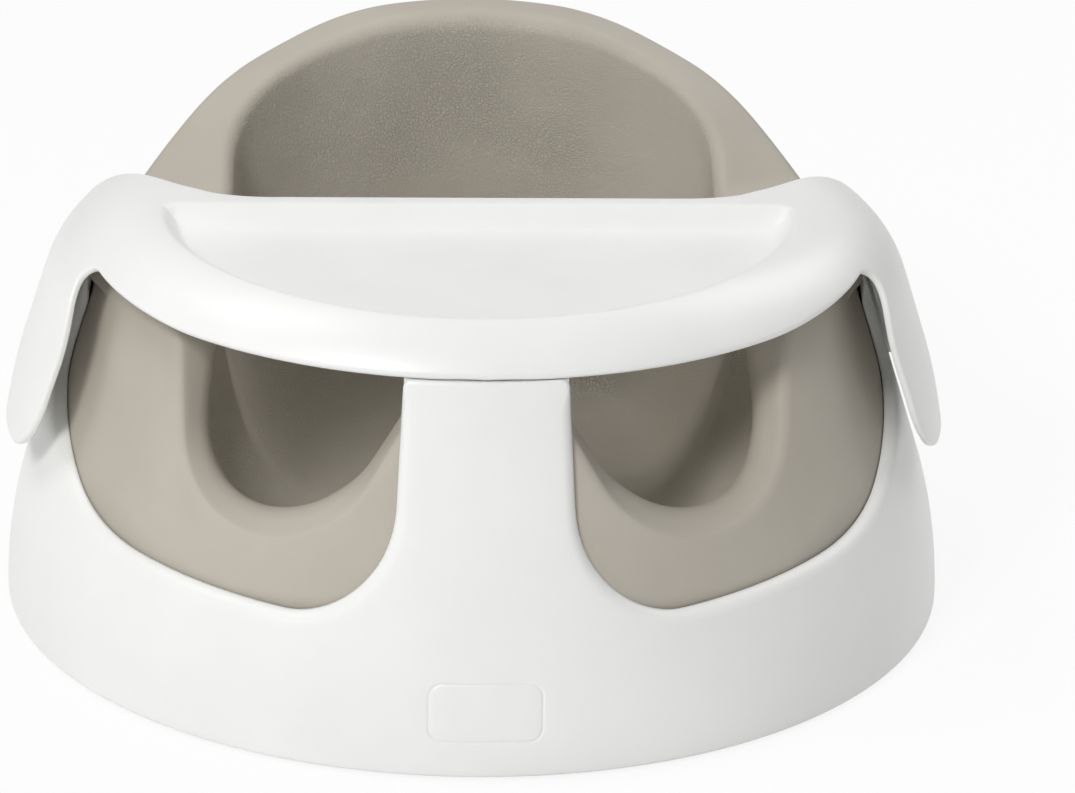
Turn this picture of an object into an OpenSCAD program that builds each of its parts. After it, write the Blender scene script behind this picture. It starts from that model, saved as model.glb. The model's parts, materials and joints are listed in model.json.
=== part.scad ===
// Baby floor seat: a round white shell with two leg windows, a soft moulded foam bucket seat inside it,
// and a half-moon tray whose two arms drape down outside the shell and which lifts straight off.
// Millimetres. The origin is the middle of the base on the floor, -Y is the front, +Z is up.

/* [Base shell] */
// Diameter of the base at the floor
base_d = 400; // [384:2:416]
// Height of the shell's top edge at the sides and back
shell_top = 142; // [136:1:146]
// Wall thickness of the shell
shell_wall = 3; // [2.4:0.1:3.4]
// Radius of the curve of the lower side wall
side_r = 200; // [190:5:230]
// Lean of the upper side wall, in degrees from upright
side_lean = 18; // [16:0.5:19]
// Gap between the shell's lower edge and the floor
floor_gap = 1.5; // [1:0.1:2.5]

/* [Leg windows] */
// Height of the window sill at the front
sill_z = 60.5; // [57:0.5:64]
// Climb of the sill towards the back, in degrees
sill_rise = 4.5; // [3:0.5:6]
// Climb of the window's lower back corner, in degrees
corner_rise = 24; // [20:1:28]
// Distance of the window's back edge in front of the middle
window_back = 10; // [8:1:20]
// Radius of the window's lower corner beside the column
window_front_r = 46; // [38:1:52]
// Depth of the lip turned inwards round each window
lip_depth = 4.4; // [3.6:0.1:4.6]

/* [Front column] */
// Width of the column at its top
column_w = 65; // [60:1:70]
// Flare of each side of the column, in degrees
column_flare = 3; // [2:0.5:4]
// Height of the shelf at the column's top
shelf_z = 153.5; // [151:0.5:154.5]
// Reach of the shelf behind the column's face
shelf_depth = 32; // [28:1:34]
// Distance of the stud's middle behind the column's face
stud_back = 21; // [19:0.5:22]
// Diameter of the stud on the shelf that locates the tray
stud_d = 14; // [10:1:16]

/* [Tray] */
// Height of the tray's top
tray_top = 176.5; // [175:0.5:179]
// Wall thickness of the tray
tray_wall = 3; // [2.4:0.1:3.2]
// Gap between the shell's side and the inside of the arms where they start
arm_gap = 14.3; // [12.5:0.1:16]
// Radius of the tray's rounded shoulder and lip
shoulder_r = 46; // [44:0.5:48]
// Spread of the arms, in degrees from upright
arm_spread = 18; // [17:0.5:20]
// Spread of the arms at their tips, in degrees from upright
tip_spread = 10; // [8:0.5:14]
// Depth of the tray's plan as a share of its width
tray_plan = 0.89; // [0.88:0.005:0.9]
// Climb of the lip's lower edge towards the arms, in degrees
lip_rise = 3; // [2:0.2:3.6]
// Width of each arm
arm_w = 126; // [116:2:134]
// Height of the arms' tips
arm_tip_z = 79; // [74:1:90]
// Radius of the corners of the arms' tips
arm_tip_r = 28; // [20:1:34]
// Distance of the tray's middle in front of the base's middle
tray_y = 4; // [2:0.5:5]
// Distance of the tray's straight rear edge in front of its middle
rear_edge = 4; // [0:1:8]
// Depth of the dished play surface
dish_depth = 8; // [6:0.5:8]
// Distance from the crest of the tray's side to the edge of the dish
dish_margin = 6; // [5:0.5:10]
// Reach of the dish's front edge beyond the crest of the tray's front
dish_reach = 16; // [10:0.5:17]
// Run of the dish's sloping wall
dish_run = 8; // [6:0.5:10]

/* [Seat foam] */
// Gap between the shell's outer face and the foam behind the windows
foam_inset = 5; // [4.8:0.1:6]
// Height of the seat's lowest point
seat_z = 50; // [46:1:56]
// Height of the foam's underside
foam_base_z = 22; // [20:0.5:24]
// Diameter of the foam's underside
foam_base_d = 300; // [290:2:304]
// Height at which the back's rim starts to roll over
back_z = 212; // [206:1:218]
// Height of the bottom of the leg dips
dip_z = 85; // [80:1:90]
// Radius of the leg dips
dip_r = 54; // [48:1:54]
// Thickness of the back at its rim
back_w = 30; // [26:1:34]
// Thickness of the sides at their rim
side_w = 54; // [48:1:58]

/* [Base pan and fixings] */
// Thickness of the pan
pan_wall = 2.5; // [2:0.1:3]
// Height of the underside of the pan's rim
pan_z = 6; // [5.5:0.25:7]
// Number of screws that hold the pan
screw_count = 8; // [8:4:12]
// Diameter of the screws' shanks
screw_d = 3.2; // [2.8:0.1:3.6]
// Depth to which the screws reach into their bosses
screw_reach = 14; // [10:1:16]
// Diameter of the screws' heads
head_d = 6.5; // [6:0.1:7.5]
// Height of the screws' heads
head_h = 2.2; // [1.8:0.1:2.6]
// Distance of the foam's pegs from the middle, along X and along Y
peg_place = 64; // [50:1:80]
// Diameter of the pegs' heads
peg_head_d = 26; // [22:1:28]
// Thickness of the pegs' heads
peg_head_h = 2; // [1.6:0.1:2.5]
// Diameter of the pegs' shanks
peg_d = 7.4; // [6.4:0.1:8]
// Diameter of the rubber feet
foot_d = 24; // [20:1:26]

/* [Hidden] */
$fn = 96;

base_r = base_d / 2;
cut = base_r + 60;          // beyond every face, for cutting shapes
rest_gap = 0.3;             // between a piece and what it rests on
run_gap = 0.6;              // between the shell and the ribs of the lifting tray
pan_top = pan_z + pan_wall; // upper face of the pan's rim, on which the screw bosses stand
deck_top = foam_base_z;     // upper face of the pan's deck, on which the foam stands

// ---------------------------------------------------------------- outlines

function unit(v) = v / norm(v);
function flip(list) = [for (i = [len(list) - 1 : -1 : 0]) list[i]];
function blend(a, b, t) = a + (b - a) * t;
function ease(lo, hi, x) = let (t = min(1, max(0, (x - lo) / (hi - lo)))) t * t * (3 - 2 * t);

// Arc of radius r that rounds the corner p between the points a and b
function corner(a, p, b, r, steps) =
    let (u = unit(a - p), v = unit(b - p), half = acos(u * v) / 2,
         mid = p + unit(u + v) * r / sin(half),
         from = p + u * r / tan(half) - mid, to = p + v * r / tan(half) - mid,
         a0 = atan2(from.y, from.x), turn = atan2(from.x * to.y - from.y * to.x, from * to))
    [for (i = [0 : steps]) mid + r * [cos(a0 + turn * i / steps), sin(a0 + turn * i / steps)]];

// Path through corners [x, y, radius]; a corner of no radius stays sharp
function path(c, steps = 8) =
    [for (i = [0 : len(c) - 1])
        let (p = [c[i].x, c[i].y])
        each c[i][2] == 0 ? [p] : corner([c[i - 1].x, c[i - 1].y], p, [c[i + 1].x, c[i + 1].y], c[i][2], steps)];

// Seen from the side (Y across, Z up) and swept across the whole width
module from_side() rotate([90, 0, 90]) linear_extrude(2 * cut, center = true) children();

// Seen from the front (X across, Z up) and swept over the front half
module from_front() rotate([90, 0, 0]) linear_extrude(cut) children();

// ---------------------------------------------------------------- side wall

bend_z = side_r * sin(side_lean);   // height at which the side wall turns straight

// Radius of the side wall at height z, taken depth inside its outer face
function side_x(z, depth = 0) =
    z < bend_z ? base_r - side_r + sqrt(pow(side_r - depth, 2) - z * z)
               : base_r - side_r + side_r * cos(side_lean) - (z - bend_z) * tan(side_lean) - depth / cos(side_lean);

// Profile of the side wall from height z0 to z1
function side_profile(depth, z0, z1) =
    let (r = side_r - depth, a0 = asin(z0 / r))
    concat(a0 >= side_lean ? [[side_x(z0, depth), z0]]
                           : [for (i = [0 : 6]) let (a = blend(a0, side_lean, i / 6))
                              [base_r - side_r + r * cos(a), r * sin(a)]],
           [[side_x(z1, depth), z1]]);

module side_band(depth, z0, z1)
    rotate_extrude() polygon(concat(side_profile(0, z0, z1), flip(side_profile(depth, z0, z1))));

module side_solid(depth, z0, z1)
    rotate_extrude() polygon(concat(side_profile(depth, z0, z1), [[0, z1], [0, z0]]));

// ---------------------------------------------------------------- leg windows

// Both windows seen from the side, grown by grow
module window_side(grow) {
    front_y = -(base_r - 25);
    kink_y = -98;
    kink_z = sill_z + (kink_y - front_y) * tan(sill_rise);
    back_y = grow - window_back;
    low = grow / cos(sill_rise);
    polygon(path([[-cut, sill_z - (cut + front_y) * tan(sill_rise) - low, 0],
                  [kink_y, kink_z - low, 150 + grow],
                  [back_y, kink_z + (back_y - kink_y) * tan(corner_rise) - grow / cos(corner_rise), 18 + grow],
                  [back_y, cut, 0], [-cut, cut, 0]]));
}

// Front column seen from the front, its foot flaring into the sill, narrowed by trim
module column_front(trim) {
    half_w = column_w / 2 - trim;
    half = path([[cut, sill_z - trim, 0],
                 [half_w + (shelf_z - sill_z) * tan(column_flare), sill_z - trim, window_front_r + trim],
                 [half_w - (cut - shelf_z) * tan(column_flare), cut, 0]]);
    polygon(concat([[cut, 0]], half, flip([for (p = half) [-p.x, p.y]]), [[-cut, 0]]));
}

module windows(grow = 0) difference() {
    from_side() window_side(grow);
    from_front() column_front(grow);
}

// ---------------------------------------------------------------- base shell

boss_d = 10;
boss_top = 32;
boss_r = base_r - 13;       // circle of the screws
stud_y = -(side_x(shelf_z) - stud_back);
stud_top = tray_top - dish_depth - tray_wall - 1;

module at_screws() for (i = [0 : screw_count - 1]) rotate((i + 0.5) * 360 / screw_count) translate([boss_r, 0]) children();

// Side wall of the given depth, low all round and carried up to the shelf at the column
module wall(depth) {
    side_band(depth, floor_gap, shell_top);
    intersection() {
        side_band(depth, shell_top - 1, shelf_z);
        from_front() column_front(0);
    }
}

// Shelf on the column, turned back over the front of the foam
module shelf() intersection() {
    side_solid(0, shelf_z - shell_wall, shelf_z);
    translate([0, -side_x(shelf_z), 0]) linear_extrude(cut) offset(8) offset(-8)
        square([column_w, 2 * shelf_depth], center = true);
    from_front() column_front(0);
}

module screw_bosses() intersection() {
    side_solid(1, pan_top, boss_top + 8);
    union() {
        at_screws() translate([0, 0, pan_top]) cylinder(d = boss_d, h = boss_top - pan_top);
        at_screws() translate([0, -1.25, pan_top]) cube([40, 2.5, boss_top - pan_top]);
    }
}

module base_shell() color("white") difference() {
    union() {
        difference() {
            union() {
                wall(shell_wall);
                intersection() {
                    wall(lip_depth);
                    windows(shell_wall);
                }
            }
            windows();
        }
        shelf();
        translate([0, stud_y, shelf_z - 1]) cylinder(d = stud_d, h = stud_top - shelf_z + 1);
        screw_bosses();
    }
    at_screws() translate([0, 0, pan_top - 1]) cylinder(d = screw_d - 0.4, h = pan_wall + screw_reach + 1.5);
    translate([0, stud_y, shelf_z - shell_wall - 1]) cylinder(d = stud_d - 6, h = stud_top - shelf_z);
}

// ---------------------------------------------------------------- seat foam

girth = PI * (base_r - 34) / 180; // millimetres of rim per degree round the seat
stations = 44;              // stations along half of the rim
foam_clear = 0.5;           // the rim stands this far inside the line of the shell
ledge = shell_top + 0.4;    // height of the ledge that laps over the shell's top edge

// Line along which the outer face starts to roll over, unrolled: [distance round, height]
rim_line = path([[0, 139, 0], [26, 139, 12], [56, dip_z, dip_r], [129, dip_z, dip_r], [157, 151, 12],
                 [180 * girth - 192, 151, 30], [180 * girth - 140, back_z - 24, 120],
                 [180 * girth - 66, back_z - 2.5, 200], [180 * girth, back_z, 0]]);
run = [for (i = 0, s = 0; i < len(rim_line); s = s + norm(rim_line[min(i + 1, len(rim_line) - 1)] - rim_line[i]),
       i = i + 1) s];

// Point of the rim line at the share t of its length
function rim_at(t) =
    let (s = t * run[len(run) - 1], k = max([for (i = [0 : len(run) - 2]) run[i] <= s ? i : 0]))
    blend(rim_line[k], rim_line[k + 1], (s - run[k]) / (run[k + 1] - run[k]));

// Radius of the foam's outer face at height z and angle a from the front
function foam_x(z, a) =
    let (out = ease(74, 83, a) * ease(ledge, ledge + 2, z))
    side_x(z) - blend(foam_inset, foam_clear, out) / cos(side_lean);

function turned(r, a, z) = [r * sin(a), -r * cos(a), z];

// Width of the rim by angle, from the outer face to the face of the seat
function rim_w(a) = lookup(a, [[0, 34], [16, 30], [26, 30], [46, 26], [58, 27], [74, 42], [90, side_w],
                               [102, side_w - 6], [120, blend(side_w, back_w, 0.7)], [136, back_w], [180, back_w]]);

// One section through the foam at station i, from the underside over the rim to the seat
function section(i) =
    let (p = rim_at(i / stations), a = p.x / girth, z = p.y,
         q = rim_at(min(1, (i + 0.4) / stations)), o = rim_at(max(0, (i - 0.4) / stations)),
         at = turned(foam_x(z, a), a, z),
         along = unit(i == 0 || i == stations ? turned(1, a + 90, 0)
                      : turned(foam_x(q.y, q.x / girth), q.x / girth, q.y)
                        - turned(foam_x(o.y, o.x / girth), o.x / girth, o.y)),
         lean = z < bend_z ? asin(z / side_r) : side_lean,
         face = turned(cos(lean), a, sin(lean)),
         out = unit(face - (face * along) * along),
         steep = abs(along.z),
         deep = -turned(1, a * ease(44, 84, a), 0),
         up = unit(cross(-deep, along)),
         roll = acos(out * up), over = unit(up - (up * out) * out),
         ro = blend(9 + 2 * ease(14, 24, a) * (1 - ease(50, 60, a)), 5, steep),
         ri = blend(ease(20, 40, a) * (1 - ease(110, 150, a)) * 3 + 14, 6, steep),
         top = at - out * ro + up * ro + deep * (rim_w(a) - ro - ri),
         inner = top - up * ri + deep * ri,
         base_a = blend(a, 180 * i / stations, 0.5),
         floor = [72 * sin(base_a), 12 - 78 * cos(base_a)])
    concat([turned(foam_base_d / 2, base_a, foam_base_z), turned(foam_base_d / 2 + 8, base_a, foam_base_z + 16)],
           [for (h = [60, blend(60, z, 0.5), min(ledge - 0.1, z - 6), min(ledge + 2, z - 3)])
            turned(foam_x(h, a), h < 61 ? blend(base_a, a, 0.6) : a, h)],
           [for (b = [0, 1/3, 2/3, 1]) at - out * ro + ro * (out * cos(b * roll) + over * sin(b * roll))],
           [for (b = [0, 30, 60, 90]) top - up * ri + ri * (up * cos(b) + deep * sin(b))],
           [for (b = [24, 48, 70, 90])
            let (c = blend([inner.x, inner.y], floor, 1 - cos(b)))
            [c.x, c.y, blend(inner.z, seat_z, sin(b))]]);

module foam_body() {
    half = [for (i = [0 : stations]) section(i)];
    loop = concat(half, [for (i = [stations - 1 : -1 : 1]) [for (p = half[i]) [-p.x, p.y, p.z]]]);
    n = len(loop);
    rows = len(half[0]);
    points = concat([for (s = loop) each s], [[0, 12, seat_z - 3]]);
    function id(i, k) = (i % n) * rows + k;
    skin = [for (i = [0 : n - 1], k = [0 : rows - 2])
            each i < stations ? [[id(i, k), id(i, k + 1), id(i + 1, k + 1)], [id(i, k), id(i + 1, k + 1), id(i + 1, k)]]
                              : [[id(i, k), id(i, k + 1), id(i + 1, k)], [id(i, k + 1), id(i + 1, k + 1), id(i + 1, k)]]];
    bottom = [[for (i = [0 : n - 1]) id(i, 0)]];
    seat = [for (i = [0 : n - 1]) [n * rows, id(i + 1, rows - 1), id(i, rows - 1)]];
    polyhedron(concat(points), concat(skin, bottom, seat));
}

module seat_foam() color("tan") difference() {
    foam_body();
    at_pegs() translate([0, 0, foam_base_z - 1]) cylinder(d = peg_head_d + 2 * rest_gap, h = peg_head_h + 1 + rest_gap);
}

// ---------------------------------------------------------------- base pan and fixings

foot_r = base_r - 31;       // circle of the feet
foot_angles = [-120, -60, 180, 0, 120, 60];

module at_pegs() for (x = [-peg_place, peg_place], y = [-peg_place, peg_place]) translate([x, y]) children();
module at_feet() for (a = foot_angles) rotate(a) translate([foot_r, 0]) children();

module base_pan() color("gainsboro") difference() {
    union() {
        // Rim, riser and deck
        rotate_extrude() polygon([[0, deck_top - pan_wall], [foam_base_d / 2 - 2, deck_top - pan_wall],
            [foam_base_d / 2, pan_z], [side_x(pan_top, shell_wall) - 0.6, pan_z],
            [side_x(pan_top, shell_wall) - 0.6, pan_top], [foam_base_d / 2 + pan_wall, pan_top],
            [foam_base_d / 2, deck_top], [0, deck_top]]);
        // Stiffening ribs and rings under the deck
        for (i = [0 : 11]) rotate(i * 30) translate([20, -1, pan_z]) cube([foam_base_d / 2 - 21, 2, deck_top - pan_z - 1]);
        for (r = [22, 112]) translate([0, 0, pan_z]) difference() {
            cylinder(r = r, h = deck_top - pan_z - 1);
            translate([0, 0, -1]) cylinder(r = r - 2, h = deck_top - pan_z - pan_wall + 1.1);
        }
        // Sockets for the feet
        at_feet() translate([0, 0, 2.2]) cylinder(d = foot_d + 6, h = pan_z - 2);
    }
    at_feet() translate([0, 0, 1]) cylinder(d = foot_d + 2 * rest_gap, h = pan_z - 1);
    at_screws() translate([0, 0, pan_z - 1]) cylinder(d = screw_d + 0.4, h = pan_wall + 2);
    at_pegs() {
        translate([0, 0, deck_top - pan_wall - 1]) cylinder(d = peg_d + 0.6, h = pan_wall + 2);
        translate([0, 0, pan_z - 1]) cylinder(d = 20, h = deck_top - pan_wall - pan_z + 1);
    }
}

module pan_screws() color("silver") at_screws() difference() {
    union() {
        translate([0, 0, pan_z - head_h]) cylinder(d = head_d, h = head_h);
        translate([0, 0, pan_z - 0.5]) cylinder(d = screw_d, h = 1 + pan_wall);
        translate([0, 0, pan_z]) cylinder(d = screw_d - 0.4, h = pan_wall + screw_reach);
    }
    for (a = [0, 90]) rotate(a) translate([-2, -0.4, pan_z - head_h - 1]) cube([4, 0.8, 2.2]);
}

// Push-in pegs that hold the foam down on the pan
module foam_pegs() color("dimgray") at_pegs() rotate_extrude() polygon([
    [0, foam_base_z + peg_head_h], [peg_head_d / 2, foam_base_z + peg_head_h], [peg_head_d / 2, foam_base_z],
    [peg_d / 2, foam_base_z], [peg_d / 2, deck_top - pan_wall - rest_gap],
    [peg_d / 2 + 1, deck_top - pan_wall - rest_gap - 0.5], [peg_d / 2 - 1.5, pan_z + 4], [0, pan_z + 4]]);

module foot(k) color("darkgray") rotate(foot_angles[k]) translate([foot_r, 0, 0]) rotate_extrude() polygon(
    concat([[0, 0]], path([[foot_d / 2 - 1.5, 0, 0], [foot_d / 2, 0, 1.2], [foot_d / 2, pan_z, 0]], 5), [[0, pan_z]]));

module foot_front_left() foot(0);
module foot_front_right() foot(1);
module foot_mid_left() foot(2);
module foot_mid_right() foot(3);
module foot_rear_left() foot(4);
module foot_rear_right() foot(5);

// ---------------------------------------------------------------- tray

lip_z = shelf_z + 0.8;      // height of the front lip's lower edge
dish_top = tray_top + 2;    // the cutting shape runs past the tray's top
dish_z = tray_top - dish_depth;
shoulder_turn = 90 - arm_spread;
arm_z = tray_top - shoulder_r + shoulder_r * cos(shoulder_turn); // height at which the arms start
crest_r = side_x(arm_z) + arm_gap + tray_wall / cos(arm_spread) - shoulder_r * sin(shoulder_turn);
tray_floor = 60;            // below the arms' tips

// Outer profile of the tray taken depth inside its face, from its middle to below the arms' tips
function tray_profile(depth) =
    let (r = shoulder_r - depth, mid_z = tray_top - shoulder_r,
         x = crest_r + shoulder_r * sin(shoulder_turn), knee_z = arm_tip_z + 21,
         knee = x + (arm_z - knee_z) * tan(arm_spread))
    concat([[0, tray_top - depth]],
           [for (i = [0 : 8]) let (a = shoulder_turn * i / 8) [crest_r + r * sin(a), mid_z + r * cos(a)]],
           [for (i = [0 : 4]) let (lean = blend(arm_spread, tip_spread, i / 4), h = [14, 6, 0, -6, -14][i])
            [knee - depth / cos(arm_spread) - h * tan(h > 0 ? arm_spread : tip_spread) - 0.7 * (1 - abs(h) / 14), knee_z + h]],
           [[knee - depth / cos(tip_spread) + (knee_z - tray_floor) * tan(tip_spread), tray_floor]]);

// Everything under the tray's face taken depth inside it
module tray_solid(depth) scale([1, tray_plan, 1]) rotate_extrude()
    polygon(concat(flip(tray_profile(depth)), [[0, tray_floor]]));

// The lip's lower edge and the two arms, seen from the side
module tray_side() {
    half = arm_w / 2;
    lip_y = -(tray_plan * crest_r + 35);
    bend_y = -(half + 49);
    bent_z = lip_z + (bend_y - lip_y) * tan(lip_rise);
    notch_z = bent_z - (half * 0.76 + bend_y) * tan(2 * lip_rise);
    polygon(path([[-cut, lip_z - (cut + lip_y) * tan(lip_rise), 0], [bend_y, bent_z, 160], [-half * 0.76, notch_z, 5],
                  [-half, blend(arm_tip_z, notch_z, 0.66), 60], [-half, arm_tip_z, arm_tip_r],
                  [half, arm_tip_z, arm_tip_r], [half, blend(arm_tip_z, notch_z, 0.66), 60],
                  [half * 0.76, notch_z + 20, 0], [half * 0.76, cut, 0], [-cut, cut, 0]]));
}

// The rear edge seen from above, swept back beside the seat
module tray_plan_shape(inset = 0) offset(delta = -inset) {
    turn_x = crest_r - 28;
    side = path([[0, -rear_edge, 0], [turn_x, -rear_edge, 60], [turn_x + 80, 66, 0]]);
    polygon(concat(side, [[cut, 66 + 40], [cut, -cut], [-cut, -cut], [-cut, 66 + 40]],
                   flip([for (p = side) [-p.x, p.y]])));
}

// The dish seen from above, shrunk by inset
module dish(inset) {
    half = crest_r - dish_margin - inset;
    back = -rear_edge - 10 - inset;
    mid = -rear_edge - 16;
    front = tray_plan * crest_r + dish_reach + mid - inset;
    polygon(concat(path([[-half, mid, 0], [-half, back, min(5, back - mid - 0.5)], [half, back, min(5, back - mid - 0.5)],
                         [half, mid, 0]], 4),
                   [for (a = [-7.5 : -7.5 : -172.5]) [half * cos(a), mid + front * sin(a)]]));
}

module dish_shape(grow, floor_z) hull() {
    translate([0, 0, floor_z]) linear_extrude(0.01) dish(dish_run - grow);
    translate([0, 0, tray_top]) linear_extrude(dish_top - tray_top) dish(-grow);
}

socket_d = stud_d + 1;

module tray() color("whitesmoke") {
    translate([0, -tray_y]) difference() {
        intersection() {
            from_side() tray_side();
            linear_extrude(cut) tray_plan_shape();
            tray_solid(0);
            union() {
                difference() {
                    tray_solid(0);
                    tray_solid(tray_wall);
                }
                dish_shape(tray_wall, dish_z - tray_wall);
                rear_skirt();
            }
        }
        dish_shape(0, dish_z);
    }
    difference() {
        intersection() {
            translate([0, stud_y, shelf_z + rest_gap]) cylinder(d = socket_d + 4, h = dish_z - 1 - shelf_z - rest_gap);
            translate([0, -tray_y]) tray_solid(1);
        }
        translate([0, stud_y, shelf_z - 1]) cylinder(d = socket_d, h = dish_z - tray_wall + 0.5 - shelf_z + 1);
    }
    arm_ribs();
}

// Stiffening skirt under the rear edge
module rear_skirt() translate([0, 0, dish_z - tray_wall]) linear_extrude(cut) intersection() {
    difference() {
        tray_plan_shape();
        tray_plan_shape(tray_wall);
    }
    square([2 * (crest_r - 19), 60], center = true);
}

// Ribs inside the arms that saddle the shell
module arm_ribs() difference() {
    translate([0, -tray_y]) intersection() {
        tray_solid(tray_wall - 0.6);
        for (x = [-cut, crest_r - 17], y = [6, 40]) translate([x, y, arm_tip_z + 10])
            cube([cut - crest_r + 17, 3, arm_z - arm_tip_z]);
    }
    side_solid(-run_gap, 1, cut - 60);
}

base_shell();
seat_foam();
tray();
base_pan();
pan_screws();
foam_pegs();
foot_front_left();
foot_front_right();
foot_mid_left();
foot_mid_right();
foot_rear_left();
foot_rear_right();
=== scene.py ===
"""Baby floor seat: a white moulded shell, a soft foam bucket seat in it and a half-moon tray that lifts off.

Sizes are in millimetres up to the moment a mesh is made. The front of the seat is -Y.
"""
import json
import math

import bpy
import numpy as np
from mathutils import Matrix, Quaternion, Vector
from mathutils.geometry import delaunay_2d_cdt

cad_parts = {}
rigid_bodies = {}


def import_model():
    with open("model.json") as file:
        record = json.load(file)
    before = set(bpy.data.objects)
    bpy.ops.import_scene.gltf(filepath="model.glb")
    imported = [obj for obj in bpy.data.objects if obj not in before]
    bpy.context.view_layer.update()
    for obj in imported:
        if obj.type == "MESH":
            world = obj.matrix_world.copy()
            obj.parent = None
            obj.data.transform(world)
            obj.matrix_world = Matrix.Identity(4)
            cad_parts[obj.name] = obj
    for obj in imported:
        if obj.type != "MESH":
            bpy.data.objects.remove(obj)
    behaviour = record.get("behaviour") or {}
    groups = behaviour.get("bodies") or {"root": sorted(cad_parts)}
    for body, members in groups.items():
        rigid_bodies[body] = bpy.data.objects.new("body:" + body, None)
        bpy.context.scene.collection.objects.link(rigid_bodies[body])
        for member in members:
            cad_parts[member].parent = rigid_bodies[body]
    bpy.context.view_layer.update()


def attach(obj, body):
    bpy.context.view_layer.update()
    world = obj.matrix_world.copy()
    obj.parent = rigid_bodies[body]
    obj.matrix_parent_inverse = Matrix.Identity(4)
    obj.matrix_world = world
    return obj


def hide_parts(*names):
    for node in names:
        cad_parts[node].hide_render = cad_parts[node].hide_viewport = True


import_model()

MM = 0.001

# ---------- sizes of the real seat

BASE_R = 200.0          # round base of the shell
SHELL_TOP = 142.0       # top edge of the shell beside and behind the seat
WALL = 3.0              # moulded wall
SIDE_R = 200.0          # curve of the lower side wall
LEAN = math.radians(18)
FLOOR_GAP = 1.5
FOOT_Z = FLOOR_GAP + 1.3    # where the shell's rounded lower edge begins
UNROLL_R = 185.0        # radius on which the side is unrolled to a flat sheet
AROUND = 181            # points round the shell's lower edge

SILL_Z, SILL_RISE, CORNER_RISE = 60.5, 4.5, 24.0    # sill of the leg windows, its slopes in degrees
KINK_Y, WINDOW_BACK = -98.0, 10.0
LIP = 4.4               # radius of the lip rolled in round the leg windows

COLUMN_W, COLUMN_FLARE, COLUMN_FOOT_R = 65.0, 3.0, 46.0
SHELF_Z, SHELF_REACH = 153.5, 32.0
STUD_Y, STUD_R, STUD_TOP = -139.4, 7.0, 164.5
PLATE = (-22.3, 22.85, 16.5, 40.0, 5.5)     # bare plate low on the column: sides, lower and upper edge, corner radius
GROOVE, GROOVE_HALF = 0.42, 0.8             # depth and half width of the fine groove round the plate

TRAY_TOP, TRAY_WALL, TRAY_Y, TRAY_PLAN = 176.5, 3.0, 4.0, 0.89
CREST_R, SHOULDER_R = 137.0, 46.0           # flat top of the tray, and the curve that turns it down
ARM_W, ARM_TIP_Z, ARM_TIP_R = 126.0, 79.0, 28.0
REAR_EDGE, DISH_DEPTH, DISH_RUN = 4.0, 8.0, 8.0
DISH_MARGIN, DISH_REACH = 6.0, 16.0         # dish inside the crest at the sides, and beyond it at the front
SHOULDER_TURN, ARM_TURN = 72, 80            # slope of the tray below its shoulder and at the arms' tips, in degrees
RIB_PLACES, RIB_WALL, RIB_TOP = (6, 40), 3.0, 154.0
LIP_Z, LIP_RISE = SHELF_Z + 1.6, 3.0        # lower edge of the front lip, its slope in degrees

SEAT_Z, FOAM_BASE_Z, FOAM_BASE_R = 50.0, 22.0, 150.0
BACK_Z, DIP_Z, DIP_R = 212.0, 85.0, 54.0
FOAM_INSET, FOAM_CLEAR = 5.0, 0.5   # foam from the outer face, in the shell and lapped over it
LEDGE = SHELL_TOP + 0.4
GIRTH = math.pi * (BASE_R - 34) / 180        # length of one degree of the foam's rim
BEND_Z = SIDE_R * math.sin(LEAN)
SEAT_HALF_W, SEAT_HALF_L, SEAT_Y, SEAT_DISH = 72.0, 78.0, 12.0, 3.0
STATIONS = 300          # stations along half of the rim
RIM_CROWN = 0.04        # height of the rim's crown as a share of its width

SCREW_R, BOSS_LOW, BOSS_TOP = BASE_R - 13, 8.6, 32.0
FOOT_R, FOOT_H, FOOT_REACH = 12.0, 6.0, 169.0
# Turn about Z, x and y of the copies of each small piece
SCREW_PLACES = [(22.5 + 45 * i, 0, 0) for i in range(8)]
FOOT_PLACES = [(60 * i, 0, 0) for i in range(6)]
PEG_PLACES = [(0, x, y) for x in (-64, 64) for y in (-64, 64)]


# ---------- outlines

def blend(a, b, t):
    return a + (b - a) * t


def ease(lo, hi, x):
    t = np.clip((np.asarray(x, float) - lo) / (hi - lo), 0, 1)
    return t * t * (3 - 2 * t)


def path(corners, steps=14):
    """Points through corners (x, y, radius); a corner of no radius stays sharp."""
    made = []
    for i, (x, y, r) in enumerate(corners):
        p = np.array([x, y], float)
        if r == 0:
            made.append(p)
            continue
        u = np.array(corners[i - 1][:2], float) - p
        v = np.array(corners[(i + 1) % len(corners)][:2], float) - p
        u, v = u / np.linalg.norm(u), v / np.linalg.norm(v)
        half = math.acos(float(u @ v)) / 2
        mid = p + (u + v) / np.linalg.norm(u + v) * r / math.sin(half)
        a, b = p + u * r / math.tan(half) - mid, p + v * r / math.tan(half) - mid
        a0 = math.atan2(a[1], a[0])
        turn = math.atan2(a[0] * b[1] - a[1] * b[0], float(a @ b))
        for k in range(steps + 1):
            w = a0 + turn * k / steps
            made.append(mid + r * np.array([math.cos(w), math.sin(w)]))
    return np.array(made)


def resample(points, step, closed=False):
    """Points at an even step along a line."""
    p = np.vstack([points, points[:1]]) if closed else np.asarray(points, float)
    run = np.concatenate([[0], np.cumsum(np.linalg.norm(np.diff(p, axis=0), axis=1))])
    n = max(2, int(round(run[-1] / step)))
    at = np.linspace(0, run[-1], n + 1)
    made = np.column_stack([np.interp(at, run, p[:, k]) for k in range(p.shape[1])])
    return made[:-1] if closed else made


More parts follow.
